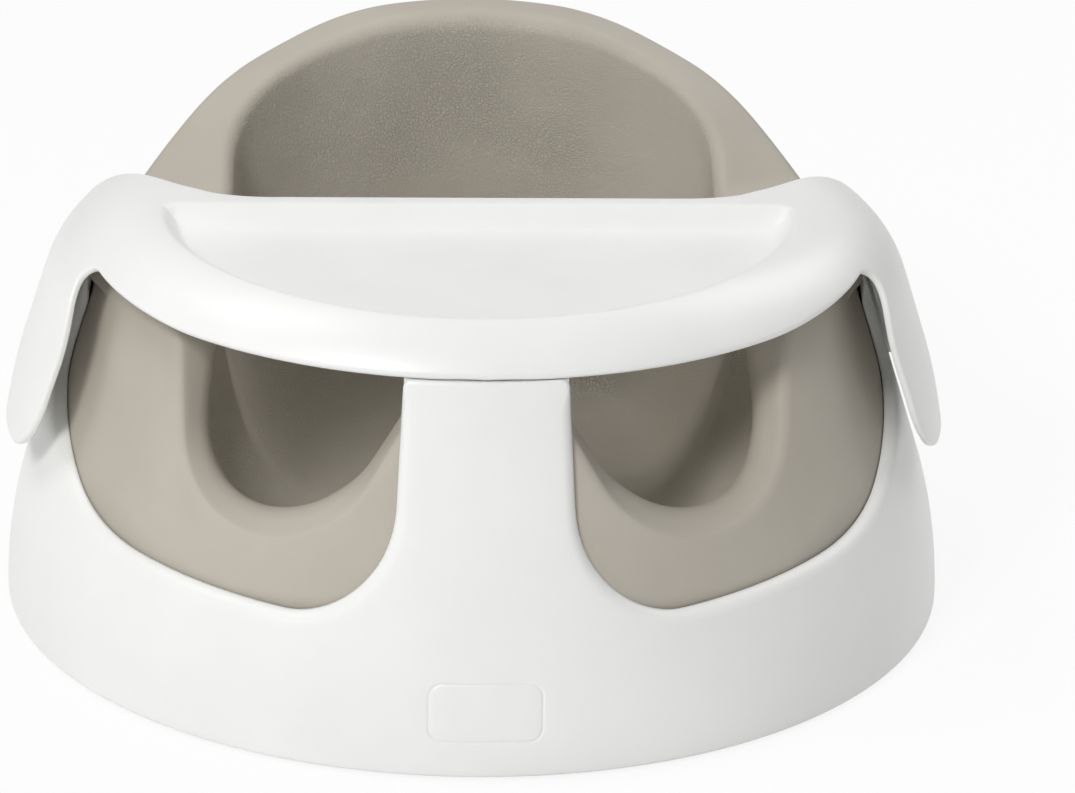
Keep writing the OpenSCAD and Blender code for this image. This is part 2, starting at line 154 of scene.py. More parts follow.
def soften(values, width, mirrored=True):
    """Running average of evenly spaced values or points, with a bell of the given width in samples."""
    if values.ndim == 2:
        return np.column_stack([soften(column, width, mirrored) for column in values.T])
    reach = int(3 * width) + 1
    bell = np.exp(-0.5 * (np.arange(-reach, reach + 1) / width) ** 2)
    bell /= bell.sum()
    if mirrored:
        long = np.concatenate([values[reach:0:-1], values, values[-2:-reach - 2:-1]])
    else:
        long = np.concatenate([np.full(reach, values[0]), values, np.full(reach, values[-1])])
    return np.convolve(long, bell, "valid")


def inside(points, loop):
    """Which points lie inside a closed loop."""
    x, y = points[:, 0], points[:, 1]
    hit = np.zeros(len(points), bool)
    a, b = loop, np.roll(loop, -1, axis=0)
    for (x0, y0), (x1, y1) in zip(a, b):
        if y0 == y1:
            continue
        cross = (y0 > y) != (y1 > y)
        hit ^= cross & (x < (x1 - x0) * (y - y0) / (y1 - y0) + x0)
    return hit


def reach_to(points, loop):
    """Distance of each point from a closed loop."""
    a, b = loop, np.roll(loop, -1, axis=0)
    best = np.full(len(points), 1e9)
    for p, q in zip(a, b):
        d = q - p
        t = np.clip(((points - p) @ d) / max(float(d @ d), 1e-12), 0, 1)
        best = np.minimum(best, np.linalg.norm(points - p - t[:, None] * d, axis=1))
    return best


def aside(loop):
    """Unit vectors square to a closed loop, on its right."""
    t = np.roll(loop, -1, axis=0) - np.roll(loop, 1, axis=0)
    t /= np.linalg.norm(t, axis=1)[:, None]
    return np.column_stack([t[:, 1], -t[:, 0]])


def fill(loop, step, extra=None):
    """Even triangles inside a closed loop of points: (points, triangles), the loop's own points first."""
    lo, hi = loop.min(0), loop.max(0)
    rows = np.arange(lo[1] + step / 2, hi[1], step * 0.866)     # the height of an even-sided triangle
    grid = np.array([(x + (step / 2 if k % 2 else 0), y) for k, y in enumerate(rows)
                     for x in np.arange(lo[0] + step / 4, hi[0], step)])
    if extra is not None:
        grid = np.vstack([grid[reach_to(grid, extra) > step * 0.6], extra])
    grid = grid[inside(grid, loop)]
    grid = grid[reach_to(grid, loop) > step * 0.45]
    points = np.vstack([loop, grid])
    n = len(loop)
    border = [(i, (i + 1) % n) for i in range(n)]
    made = delaunay_2d_cdt([Vector(p) for p in points], border, [], 1, 1e-7)
    assert len(made[0]) == len(points)
    return np.array([v[:] for v in made[0]]), [list(f) for f in made[2]]


# ---------- meshes

def bands(start, rows, n, closed=True):
    """Faces between rows of n points that follow one another from the index start."""
    made = []
    for p in range(start, start + (rows - 1) * n, n):
        for i in range(n if closed else n - 1):
            j = (i + 1) % n
            made.append([p + i, p + j, p + n + j, p + n + i])
    return made


def mesh_object(name, points, faces, smooth=True, **shares):
    """A mesh object from points in millimetres, its doubles merged and its faces turned outwards."""
    mesh = bpy.data.meshes.new(name)
    mesh.from_pydata([tuple(p) for p in np.asarray(points) * MM], [], [tuple(f) for f in faces])
    mesh.validate()
    for key, values in shares.items():
        mesh.attributes.new(key, "FLOAT", "POINT").data.foreach_set("value", np.asarray(values, np.float32))
    made = bpy.data.objects.new(name, mesh)
    bpy.context.scene.collection.objects.link(made)
    only(made)
    bpy.ops.object.mode_set(mode="EDIT")
    bpy.ops.mesh.select_all(action="SELECT")
    bpy.ops.mesh.remove_doubles(threshold=0.00002)
    bpy.ops.mesh.normals_make_consistent(inside=False)
    bpy.ops.object.mode_set(mode="OBJECT")
    if smooth:
        bpy.ops.object.shade_smooth()
    return made


def only(*objects):
    """Selects these objects and nothing else."""
    if bpy.context.object and bpy.context.object.mode != "OBJECT":
        bpy.ops.object.mode_set(mode="OBJECT")
    bpy.ops.object.select_all(action="DESELECT")
    for o in objects:
        o.select_set(True)
    bpy.context.view_layer.objects.active = objects[0]


def edit(obj, elements="FACE"):
    """Opens one object for editing with nothing selected."""
    only(obj)
    bpy.ops.object.mode_set(mode="EDIT")
    bpy.ops.mesh.select_mode(type=elements)
    bpy.ops.mesh.select_all(action="DESELECT")


def pick(obj, kind, test):
    """Selects the faces (by middle and normal) or edges (by both ends) that pass the test, in edit mode."""
    bpy.ops.object.mode_set(mode="OBJECT")
    mesh = obj.data
    for part in (mesh.vertices, mesh.edges, mesh.polygons):
        part.foreach_set("select", [False] * len(part))
    if kind == "FACE":
        for f in mesh.polygons:
            f.select = test(f.center / MM, f.normal)
    else:
        for e in mesh.edges:
            a, b = (mesh.vertices[i].co / MM for i in e.vertices)
            e.select = test(a, b)
    bpy.ops.object.mode_set(mode="EDIT")


def close_edit(obj, angle=35):
    """Back to object mode, faces outwards, smooth but for edges sharper than the angle."""
    bpy.ops.mesh.select_all(action="SELECT")
    bpy.ops.mesh.normals_make_consistent(inside=False)
    bpy.ops.object.mode_set(mode="OBJECT")
    bpy.ops.object.transform_apply(location=True, rotation=True, scale=True)
    bpy.ops.object.shade_smooth_by_angle(angle=math.radians(angle))
    return obj


def finish_with(obj, kind, **settings):
    """Adds a modifier and applies it."""
    only(obj)
    made = obj.modifiers.new(kind.title(), kind)
    for key, value in settings.items():
        setattr(made, key, value)
    bpy.ops.object.modifier_apply(modifier=made.name)


def fresh(add, **settings):
    """Adds a primitive with nothing else selected and applies its transform."""
    bpy.ops.object.select_all(action="DESELECT")
    add(**settings)
    bpy.ops.object.transform_apply(location=True, rotation=True, scale=True)
    return bpy.context.object


def inset_up(by, rise):
    """Insets the picked faces and extrudes them straight up."""
    bpy.ops.mesh.inset(thickness=by * MM)
    bpy.ops.mesh.extrude_region_move(TRANSFORM_OT_translate={"value": (0, 0, rise * MM)})


def joined(name, *pieces):
    """Joins pieces into the first one and names it."""
    only(*pieces)
    bpy.ops.object.join()
    pieces[0].name = pieces[0].data.name = name
    return pieces[0]


def copies(first, name, places):
    """Copies of a finished piece, each turned about Z by an angle and moved by x and y, joined in one."""
    made = []
    for turn, x, y in places:
        o = first.copy()
        o.data = first.data.copy()
        bpy.context.scene.collection.objects.link(o)
        o.rotation_euler[2] = math.radians(turn)
        o.location = (x * MM, y * MM, 0)
        made.append(o)
    bpy.data.objects.remove(first)
    only(*made)
    bpy.ops.object.transform_apply(location=True, rotation=True, scale=True)
    return joined(name, *made)


# ---------- white shell

def side_x(z, depth=0.0):
    """Radius of the shell's side at height z, taken depth inside its outer face."""
    z = np.asarray(z, float)
    low = BASE_R - SIDE_R + np.sqrt(np.maximum((SIDE_R - depth) ** 2 - z * z, 0))
    high = BASE_R - SIDE_R + SIDE_R * math.cos(LEAN) - (z - BEND_Z) * math.tan(LEAN) - depth / math.cos(LEAN)
    return np.where(z < BEND_Z, low, high)


def on_side(a, z, depth=0.0):
    """Points of the shell's side at angles a from the front (degrees) and heights z."""
    a, z = np.radians(np.asarray(a, float)), np.asarray(z, float)
    r = side_x(z, depth)
    return np.column_stack([r * np.sin(a), -r * np.cos(a), z * np.ones_like(r)])


def window_line(depth):
    """Top edge of half the shell from the back, round the leg window and over the column: (angle, height)."""
    front_y = -(BASE_R - 25)        # where the sill's height is measured
    rise, climb = math.tan(math.radians(SILL_RISE)), math.tan(math.radians(CORNER_RISE))
    kink_z = SILL_Z + (KINK_Y - front_y) * rise
    side = path([(-260, SILL_Z - (260 + front_y) * rise, 0), (KINK_Y, kink_z, 150),
                 (-WINDOW_BACK, kink_z + (-WINDOW_BACK - KINK_Y) * climb, 18),
                 (-WINDOW_BACK, SHELL_TOP, 5), (150, SHELL_TOP, 0)])
    side = resample(side, 1.0)
    r = side_x(side[:, 1], depth)
    side, r = side[np.abs(side[:, 0]) < r], r[np.abs(side[:, 0]) < r]
    side = np.column_stack([np.degrees(np.arccos(-side[:, 0] / r)), side[:, 1]])
    behind = np.arange(side[-1, 0] + 0.5, 180.2, 0.5)
    side = np.vstack([side, np.column_stack([behind, np.full(len(behind), SHELL_TOP)])])[::-1]

    flare = math.tan(math.radians(COLUMN_FLARE))
    column = path([(160, SILL_Z, 0), (COLUMN_W / 2 + (SHELF_Z - SILL_Z) * flare, SILL_Z, COLUMN_FOOT_R),
                   (COLUMN_W / 2, SHELF_Z, 3), (0, SHELF_Z, 0)])
    column = resample(column, 1.0)
    column = np.column_stack([np.degrees(np.arcsin(column[:, 0] / side_x(column[:, 1], depth))), column[:, 1]])

    # The sill runs into the column's foot where the two lines cross
    foot = column[np.argmin(np.where(column[:, 1] < SILL_Z + 0.01, column[:, 0], 1e9)):]
    foot = foot[foot[:, 1] > np.interp(foot[:, 0], side[::-1, 0], side[::-1, 1])]
    line = np.vstack([side[side[:, 0] > foot[0, 0] + 0.5], foot])
    line[0, 0], line[-1, 0] = 180, 0
    return line


def flat_side(line):
    """(angle, height) unrolled to millimetres."""
    return np.column_stack([np.radians(line[:, 0]) * UNROLL_R, line[:, 1]])


def whole_line(depth, step=1.6):
    """The half line, softened where the sill meets the column, mirrored to a whole top edge from 180 to -180."""
    flat = resample(flat_side(window_line(depth)), step)
    foot = np.abs(np.degrees(flat[:, 0] / UNROLL_R) - 26) < 12
    flat = np.where(foot[:, None], soften(flat, 2.0, False), flat)
    half = np.column_stack([np.degrees(flat[:, 0] / UNROLL_R), flat[:, 1]])
    return np.vstack([half, (half * [-1, 1])[-2::-1]])


def evened(line, n):
    """The line as n points at even distances."""
    flat = flat_side(line)
    run = np.concatenate([[0], np.cumsum(np.linalg.norm(np.diff(flat, axis=0), axis=1))])
    at = np.linspace(0, run[-1], n)
    return np.column_stack([np.interp(at, run, line[:, 0]), np.interp(at, run, line[:, 1])])


edge_outer, edge_inner = whole_line(0.0), whole_line(LIP)
count = min(len(edge_outer), len(edge_inner))
edge_outer, edge_inner = evened(edge_outer, count), evened(edge_inner, count)


def off_edge(offset, depth):
    """The top edge moved offset millimetres away from the windows, at a depth inside the outer face."""
    line = blend(edge_outer, edge_inner, np.clip(np.asarray(depth) / LIP, 0, 1)[:, None])
    r = side_x(line[:, 1], 0)
    d = np.gradient(line, axis=0)
    along = np.column_stack([np.radians(d[:, 0]) * r, d[:, 1] / math.cos(LEAN)])
    along /= np.linalg.norm(along, axis=1)[:, None]
    away = np.column_stack([-along[:, 1], along[:, 0]])
    made = line.copy()
    made[:, 0] += np.degrees(offset * away[:, 0] / r)
    made[:, 1] += offset * away[:, 1] * math.cos(LEAN)
    made[0, 0], made[-1, 0] = 180, -180
    return made


# How far each point of the edge belongs to a window, 1, or to a plain top edge, 0
edge_top = np.where(np.abs(edge_outer[:, 0]) < 20, SHELF_Z, SHELL_TOP)
is_window = ease(edge_top - 2, edge_top - 14, edge_outer[:, 1])
roll = blend(1.4, LIP, is_window)

angles = [math.radians(x) for x in (0, 15, 30, 45, 60, 75, 90)]
# The lip as (distance from the edge, depth): a quarter round, its inner corner and the way back to the wall
rows = [(roll * (1 - math.sin(t)), roll * (1 - math.cos(t))) for t in angles]
rows += [(0.3 + 0 * roll, roll + 0.2)]
rows += [(blend(plain, window, is_window), blend(WALL, depth, is_window)) for plain, window, depth in
         ((1.4, 2.4, LIP + 0.2), (1.6, 2.9, LIP - 0.2), (1.9, 3.8, 3.5), (2.2, 5.2, WALL))]
lip_rows = [(off_edge(o, d), d) for o, d in rows]


def plate_line():
    """The plate's outline: (distance round the shell, height)."""
    x0, x1, z0, z1, r = PLATE
    return resample(path([(x0, z0, r), (x1, z0, r), (x1, z1, r), (x0, z1, r)], 10), 0.7, True)


def skin(line, depth, step, plate=None):
    """The shell's side below its top edge, as an even mesh: (points, faces)."""
    bottom = np.linspace(-180, 180, AROUND)
    seam = np.linspace(FOOT_Z, line[0, 1], int((line[0, 1] - FOOT_Z) / step) + 1)[1:-1]
    loop = np.vstack([line, np.column_stack([np.full(len(seam), -180.0), seam[::-1]]),
                      np.column_stack([bottom, np.full(AROUND, FOOT_Z)]),
                      np.column_stack([np.full(len(seam), 180.0), seam])])
    if plate is None:
        points, faces = fill(flat_side(loop), step)
        return on_side(np.degrees(points[:, 0] / UNROLL_R), points[:, 1], depth), faces
    # The plate's outline is a fine groove, with lines of points along it
    lines = np.vstack([plate + aside(plate) * d for d in (-1.0, -0.62, -0.36, -0.12, 0.12, 0.36, 0.62, 1.0)])
    extra = flat_side(np.column_stack([np.degrees(lines[:, 0] / side_x(lines[:, 1])), lines[:, 1]]))
    points, faces = fill(flat_side(loop), step, extra)
    a = points[:, 0] / UNROLL_R
    real = np.column_stack([a * side_x(points[:, 1]), points[:, 1]])
    near = (np.abs(real[:, 0]) < 40) & (real[:, 1] < 60)
    groove = np.zeros(len(points))
    groove[near] = GROOVE * ease(GROOVE_HALF, 0.1, reach_to(real[near], plate))
    return on_side(np.degrees(a), points[:, 1], depth + groove), faces


def shell_mesh():
    points, faces = skin(lip_rows[0][0], 0.0, 4.0, plate_line())
    inner, inner_faces = skin(lip_rows[-1][0], WALL, 7.0)
    faces = faces + [[i + len(points) for i in f] for f in inner_faces]
    points = np.vstack([points, inner])
    for line, depth in lip_rows:
        r = side_x(line[:, 1], 0) - (side_x(line[:, 1], 0) - side_x(line[:, 1], WALL)) * depth / WALL
        a = np.radians(line[:, 0])
        points = np.vstack([points, np.column_stack([r * np.sin(a), -r * np.cos(a), line[:, 1]])])
    faces += bands(len(points) - len(lip_rows) * count, len(lip_rows), count, False)
    # Rounded lower edge from the outer to the inner face
    a = np.linspace(-180, 180, AROUND)
    foot = [(FOOT_Z, 0.0)] + [(FOOT_Z - 1.3 * math.sin(t), 1.3 - 1.3 * math.cos(t)) for t in angles[2::2]]
    foot += [(FLOOR_GAP, 1.7), (FLOOR_GAP + 0.4, 2.7), (FOOT_Z, WALL)]
    faces += bands(len(points), len(foot), AROUND, False)
    points = np.vstack([points] + [on_side(a, np.full(AROUND, z), depth) for z, depth in foot])
    return mesh_object("shell", points, faces)


shell = shell_mesh()


# ---------- tray

# The tray's outer face as a slope that turns with the distance run out from the middle
run = np.arange(0, 300, 0.25)
shoulder_end = CREST_R + SHOULDER_R * math.radians(SHOULDER_TURN)
knee = shoulder_end + 30.7 / math.cos(LEAN)
slope = np.interp(run, [CREST_R, shoulder_end, knee, knee + 28.5],
                  np.radians([0, SHOULDER_TURN, SHOULDER_TURN, ARM_TURN]))
slope = soften(slope, 12, False)
between = 0.5 * (slope[1:] + slope[:-1])
profile_r = np.concatenate([[0], np.cumsum(np.diff(run) * np.cos(between))])
profile_z = TRAY_TOP - np.concatenate([[0], np.cumsum(np.diff(run) * np.sin(between))])


def q_of_r(r):
    return np.interp(r, profile_r, run)


def q_of_z(z):
    return np.interp(-np.asarray(z, float), -profile_z, run)


def on_tray(q, a, depth=0.0):
    """Points of the tray at distances q out from its middle and angles a from the front, depth inside its face."""
    a, t = np.radians(np.asarray(a, float)), np.interp(q, run, slope)
    r = np.interp(q, run, profile_r) - depth * np.sin(t)
    z = np.interp(q, run, profile_z) - depth * np.cos(t)
    return np.column_stack([r * np.sin(a), -TRAY_PLAN * r * np.cos(a) - TRAY_Y, z])


def flat_tray(q, a):
    """Distance and angle unrolled round the tray's middle to a flat sheet."""
    a = np.radians(a)
    return np.column_stack([q * np.sin(a), -q * np.cos(a)])


def from_flat(flat):
    return np.hypot(flat[:, 0], flat[:, 1]), np.degrees(np.arctan2(flat[:, 0], -flat[:, 1]))


def flat_from_plan(plan):
    """Points of the tray's top seen from above, in the tray's own middle, to the flat sheet."""
    return flat_tray(q_of_r(np.hypot(plan[:, 0], plan[:, 1] / TRAY_PLAN)),
                     np.degrees(np.arctan2(plan[:, 0], -plan[:, 1] / TRAY_PLAN)))


def tray_line(step=1.6):
    """Edge of the tray as a closed loop on the flat sheet: rear edge, right arm, front lip, left arm."""
    turn_x = CREST_R - 28
    rear = path([(0, -REAR_EDGE, 0), (turn_x, -REAR_EDGE, 60), (turn_x + 80, 66, 0)])
    rear = flat_from_plan(resample(rear, 0.5))
    rear_q, rear_a = from_flat(rear)

    half = ARM_W / 2
    lip_y = -(TRAY_PLAN * CREST_R + 35)
    bend_y = -(half + 49)
    bent_z = LIP_Z + (bend_y - lip_y) * math.tan(math.radians(LIP_RISE))
    notch_z = bent_z - (half * 0.76 + bend_y) * math.tan(math.radians(2 * LIP_RISE))
    # Seen from the side, from the back of the arm's tip to the front: (y, z)
    side = path([(half, 110, 0), (half, ARM_TIP_Z, ARM_TIP_R), (-half, ARM_TIP_Z, ARM_TIP_R),
                 (-half, blend(ARM_TIP_Z, notch_z, 0.66), 60), (-half * 0.76, notch_z, 5), (bend_y, bent_z, 160),
                 (-200, LIP_Z - (200 + lip_y) * math.tan(math.radians(LIP_RISE)), 0)], 24)
    side = resample(side, 0.5)
    q = q_of_z(side[:, 1])
    reach = -side[:, 0] / (TRAY_PLAN * np.interp(q, run, profile_r))
    q, a = q[np.abs(reach) < 1], np.degrees(np.arccos(reach[np.abs(reach) < 1]))

    # The rear edge ends where it meets the back of the arm
    tip = np.argmax(q) + 1
    cut = next(i for i in range(len(rear))
               if rear_q[i] > 225 and rear_a[i] >= np.interp(rear_q[i], q[:tip], a[:tip]))
    start = next(j for j in range(len(q)) if q[j] > rear_q[cut])
    a[-1] = 0
    line = resample(np.vstack([rear[:cut], flat_tray(q[start:], a[start:])]), 0.8)
    corner = np.linalg.norm(line - rear[cut], axis=1)
    for width, near in ((2.0, np.full(len(line), True)), (5.0, corner < 22)):
        near &= np.minimum(np.arange(len(line)), np.arange(len(line))[::-1]) > 12
        line = np.where(near[:, None], soften(line, width, False), line)
    line = resample(line, step)
    line[0, 0] = line[-1, 0] = 0
    return np.vstack([line, (line * [-1, 1])[-2:0:-1]])


def dish_line():
    """Edge of the dish seen from above, in the tray's own middle."""
    half, back, mid = CREST_R - DISH_MARGIN, -REAR_EDGE - 10, -REAR_EDGE - 16
    front = TRAY_PLAN * CREST_R + DISH_REACH + mid
    bow = [(half * math.cos(a), mid + front * math.sin(a)) for a in np.linspace(-0.02, -math.pi + 0.02, 120)]
    straight = path([(-half, mid, 0), (-half, back, 5), (half, back, 5), (half, mid, 0)], 6)
    return resample(np.vstack([straight, bow]), 2.0, True)


dish_edge = dish_line()
fall = np.arange(-8, 20, 0.05)
dish_wall = soften(np.clip((fall - 0.9) / (DISH_RUN - 1.8), 0, 1), 20, False)


def dished(points, depth, wider=0.0):
    """Lowers points of the tray's top into the dish. The underside follows in a dish a little wider."""
    own = points[:, :2] + [0, TRAY_Y]
    near = (np.abs(own[:, 0]) < 150) & (own[:, 1] < 0) & (own[:, 1] > -150) & (points[:, 2] > 150)
    d = np.full(len(points), -8.0)
    d[near] = reach_to(own[near], dish_edge) * np.where(inside(own[near], dish_edge), 1, -1) + wider
    made = points.copy()
    made[:, 2] = blend(points[:, 2], TRAY_TOP - DISH_DEPTH - depth, np.interp(d, fall, dish_wall))
    return made


def dish_rings(insets, step):
    """Lines of points along the dish's edge, each moved in by an inset, so that its wall is evenly drawn."""
    made, line = [], resample(dish_edge, step, True)
    for inset in insets:
        ring = line + aside(line) * inset
        made.append(ring[reach_to(ring, dish_edge) > abs(inset) * 0.97])
    return flat_from_plan(np.vstack(made))


def tray_shell_mesh():
    edge = tray_line()
    q, a = from_flat(edge)
    surface = on_tray(q, a)
    along = np.roll(surface, -1, axis=0) - np.roll(surface, 1, axis=0)
    dq = (on_tray(q + 0.2, a) - on_tray(q - 0.2, a)) / 0.4
    da = (on_tray(q, a + 0.1) - on_tray(q, a - 0.1)) / 0.2
    normal = np.cross(dq, da)
    normal *= np.sign(normal[:, 2])[:, None]
    inward = np.cross(along, normal)
    inward /= np.linalg.norm(inward, axis=1)[:, None]
    slip = np.array([np.linalg.lstsq(np.column_stack([u, v]), w, rcond=None)[0]
                     for u, v, w in zip(dq, da, inward)])

    def moved(offset):
        return q + slip[:, 0] * offset, a + slip[:, 1] * offset

    # The rear edge is a skirt as deep as the dish, the arms and the lip end in the plain wall
    rear = ease(118, 108, np.abs(surface[:, 0])) * (surface[:, 1] > -20)
    roll = 1.3 + 1.7 * rear + 0.7 * ease(-70, -95, surface[:, 1])
    none, deep = 0 * roll, blend(TRAY_WALL, DISH_DEPTH + TRAY_WALL, rear)
    rows = [(roll * (1 - math.sin(t)), roll * (1 - math.cos(t))) for t in angles]
    rows += [(none, blend(roll, deep - 0.7, 0.5)), (none, deep - 0.7), (none + 0.2, deep - 0.2),
             (none + 0.7, deep), (none + 2.3, deep)]
    rows += [(none + o, blend(TRAY_WALL, d, rear))
             for o, d in ((2.8, deep - 0.3), (3.0, deep - 0.9), (3.1, 4.0), (3.8, TRAY_WALL))]

    def sheet(row, step, rings, wider):
        flat, made = fill(flat_tray(*moved(row[0])), step, rings)
        return dished(on_tray(*from_flat(flat), row[1][0]), row[1][0], wider), made

    points, faces = sheet(rows[0], 3.6, dish_rings([-1.5, 0, 1.2, 2.4, 3.6, 4.8, 6.0, 7.2, 8.6], 2.6), 0.0)
    under, under_faces = sheet(rows[-1], 6.0, dish_rings([-4, -1.5, 1, 3.5, 6, 8], 5.0), 1.5)
    faces = faces + [[i + len(points) for i in f] for f in under_faces]
    points = np.vstack([points, under])
    faces += bands(len(points), len(rows), len(edge))
    points = np.vstack([points] + [on_tray(*moved(offset), depth) for offset, depth in rows])
    return mesh_object("tray_shell", points, faces)


tray = tray_shell_mesh()


# ---------- ribs under the tray

def ribs():
    """Four flat ribs inside the arms, cut to the arm on one side and to the shell on the other."""
    points, faces = [], []
    z = np.linspace(ARM_TIP_Z + 10.3, RIB_TOP, 40)
    for y in RIB_PLACES:
        for sign in (1, -1):
            start = len(points)
            for own in (y, y + RIB_WALL):
                reach = np.interp(q_of_z(z), run, profile_r) - 2.0 / math.cos(LEAN)
                outer = np.sqrt(reach ** 2 - (own / TRAY_PLAN) ** 2)
                inner = np.maximum(np.sqrt((side_x(z, -1.2)) ** 2 - (own - TRAY_Y) ** 2), CREST_R - 17)
                inner = np.minimum(inner, outer - 0.5)
                for x in (outer, inner):
                    points += [(sign * u, own - TRAY_Y, w) for u, w in zip(x, z)]
            n = len(z)
            ring = [start, start + n, start + 3 * n, start + 2 * n]
            for i in range(n - 1):
                for u, v in zip(ring, ring[1:] + ring[:1]):
                    faces.append([u + i, v + i, v + i + 1, u + i + 1])
            faces.append(ring)
            faces.append([u + n - 1 for u in ring])
    return mesh_object("ribs", points, faces, False)


# ---------- foam seat

def unit(v):
    return v / np.linalg.norm(v, axis=-1, keepdims=True)


def turned(r, a, z):
    a = np.radians(a)
    return np.stack(np.broadcast_arrays(r * np.sin(a), -r * np.cos(a), z), axis=-1)


def foam_x(z, a):
    """Radius of the foam's outer face at height z and angle a from the front."""
    out = ease(74, 83, a) * ease(LEDGE, LEDGE + 2, z)
    return side_x(z) - blend(FOAM_INSET, FOAM_CLEAR, out) / math.cos(LEAN)


def foam_rows():
    """Rows of points of half the foam, from its underside over the rim to the seat, each from front to back."""
    low = DIP_Z - 3
    # The rim's outer edge: (distance round the foam, height, corner radius)
    rim = resample(path([(0, 139, 0), (26, 139, 12), (58, low, DIP_R), (125, low, DIP_R), (154, 151, 14),
                         (180 * GIRTH - 192, 151, 30), (180 * GIRTH - 140, BACK_Z - 24, 120),
                         (180 * GIRTH - 66, BACK_Z - 2.5, 200), (180 * GIRTH, BACK_Z, 0)]), 0.25)
    at = np.linspace(0, len(rim) - 1, STATIONS + 1)
    a = np.interp(at, np.arange(len(rim)), rim[:, 0]) / GIRTH
    z = soften(np.interp(at, np.arange(len(rim)), rim[:, 1]), 2.0)
    share = np.linspace(0, 1, STATIONS + 1)
    width = soften(np.interp(a, [0, 16, 30, 46, 58, 74, 90, 104, 113, 118, 122, 126, 131, 138, 145, 152, 160, 180],
                             [34, 30, 30, 29, 31, 43, 54, 52, 49, 42, 34, 28.5, 26, 25, 25.5, 27.5, 30, 30]), 4.0)

    edge = turned(foam_x(z, a), a, z)
    along = soften(np.gradient(edge, axis=0), 5.0)
    along[0], along[-1] = (1, 0, 0), (-1, 0, 0)
    along = unit(along)
    lean = np.where(z < BEND_Z, np.arcsin(np.minimum(z / SIDE_R, 1)), LEAN)
    face = turned(np.cos(lean), a, np.sin(lean))
    out = unit(face - np.sum(face * along, axis=1)[:, None] * along)
    steep = soften(np.abs(along[:, 2]), 3.0)
    deep = -turned(1.0, a * ease(20, 60, a), 0.0)
    deep[:, 2] = 0.4 * ease(10, 20, a) * (1 - ease(44, 58, a))
    deep = unit(deep)
    up = unit(np.cross(-deep, along))
    turn = np.arccos(np.clip(np.sum(out * up, axis=1), -1, 1))
    over = unit(up - np.sum(up * out, axis=1)[:, None] * out)
    ro = blend(blend(4.0, 9.0, ease(60, 84, a)), blend(3.5, 5.0, ease(60, 84, a)), steep)[:, None]
    ri = soften(np.interp(a, [0, 20, 45, 80, 100, 116, 140, 180], [10, 16, 15, 13, 8, 5, 5, 8.5]), 3.0)[:, None]
    top = edge - out * ro + up * ro + deep * (width[:, None] - ro - ri)
    inner = top - up * ri + deep * ri

    base_a = blend(a, 180 * share, 0.5)
    centre = np.array([0.0, SEAT_Y])
    floor = centre + turned(1.0, base_a, 0.0)[:, :2] * [SEAT_HALF_W, SEAT_HALF_L]
    # Underside, from its middle out, with a rounded edge
    disc = turned(FOAM_BASE_R, base_a, FOAM_BASE_Z)
    rows = [disc * [s, s, 1] for s in (0.15, 0.3, 0.45, 0.6, 0.75, 0.88, 0.96, 1)]
    rows += [turned(FOAM_BASE_R + r, base_a, FOAM_BASE_Z + h) for r, h in ((3, 5), (8, 16))]
    # Outer face up to the roll
    for h, own in ((42, 0.8), (48, 0.7), (54, 0.63), (60, 0.6)):
        r = np.minimum(foam_x(np.float64(h), a), FOAM_BASE_R + 8 + (h - 38) * 1.3)
        rows.append(turned(r, blend(base_a, a, own), h))
    sides = [blend(60.0, z, 0.25), blend(60.0, z, 0.5)]
    under = np.minimum(LEDGE - 0.1, z - 6)
    lap = np.minimum(LEDGE + 2, z - 3)
    heights = [np.minimum(h, under) for h in sides + [blend(sides[-1], under, 0.5), under - 0.8, under]]
    heights += [blend(under, lap, s) for s in (0.25, 0.6, 1.0)] + [blend(lap, z, 0.5)]
    rows += [turned(foam_x(h, a), a, h) for h in heights]
    # Outer roll, top and inner roll
    roll_start = len(rows)
    for b in np.linspace(0, 1, 9):
        w = (b * turn)[:, None]
        rows.append(edge - out * ro + ro * (out * np.cos(w) + over * np.sin(w)))
    over_edge = rows[-1]
    rows += [blend(over_edge, top, s) for s in (0.25, 0.5, 0.75, 0.92)]
    for b in np.radians(np.linspace(0, 90, 9)):
        rows.append(top - up * ri + ri * (up * math.cos(b) + deep * math.sin(b)))
    bowl_start = len(rows)
    # Wall of the bowl down to the seat, and the seat to its middle
    funnel = 0.5 * (1 - ease(70, 110, a))[:, None]
    for b in np.radians(np.linspace(0, 90, 31)[1:]):
        c = blend(inner[:, :2], floor, blend(1 - math.cos(b), b / (math.pi / 2), funnel))
        rows.append(np.column_stack([c, blend(inner[:, 2], SEAT_Z, math.sin(b))]))
    for s in (0.93, 0.84, 0.73, 0.6, 0.46, 0.3, 0.15):
        h = np.full(len(a), SEAT_Z - SEAT_DISH * (1 - s * s) ** 2)
        rows.append(np.column_stack([centre + s * (floor - centre), h]))
    # The bowl has no ridge below the rim's bends, and no seam where the wall runs into the seat
    beyond = 60     # stations added at each end for the running average
    for k in range(bowl_start, len(rows)):
        other = rows[k] * [-1, 1, 1]
        whole = soften(np.vstack([other[beyond:0:-1], rows[k], other[-2:-beyond - 2:-1]]), 14.0)
        rows[k] = blend(rows[k], whole[beyond:-beyond], ease(bowl_start, bowl_start + 15, k))
    for _ in range(14):
        last = list(rows)
        for k in range(bowl_start + 7, len(rows) - 1):
            rows[k] = (last[k - 1] + 2 * last[k] + last[k + 1]) / 4
    # The rim is crowned: highest along its middle
    for k in range(roll_start, bowl_start):
        across = (k - roll_start) / (bowl_start - 1 - roll_start)
        rows[k] = rows[k] + up * (RIM_CROWN * width * math.sin(math.pi * across) ** 2)[:, None]
    return np.stack(rows), ease(bowl_start - 9, bowl_start - 1, np.arange(len(rows)))


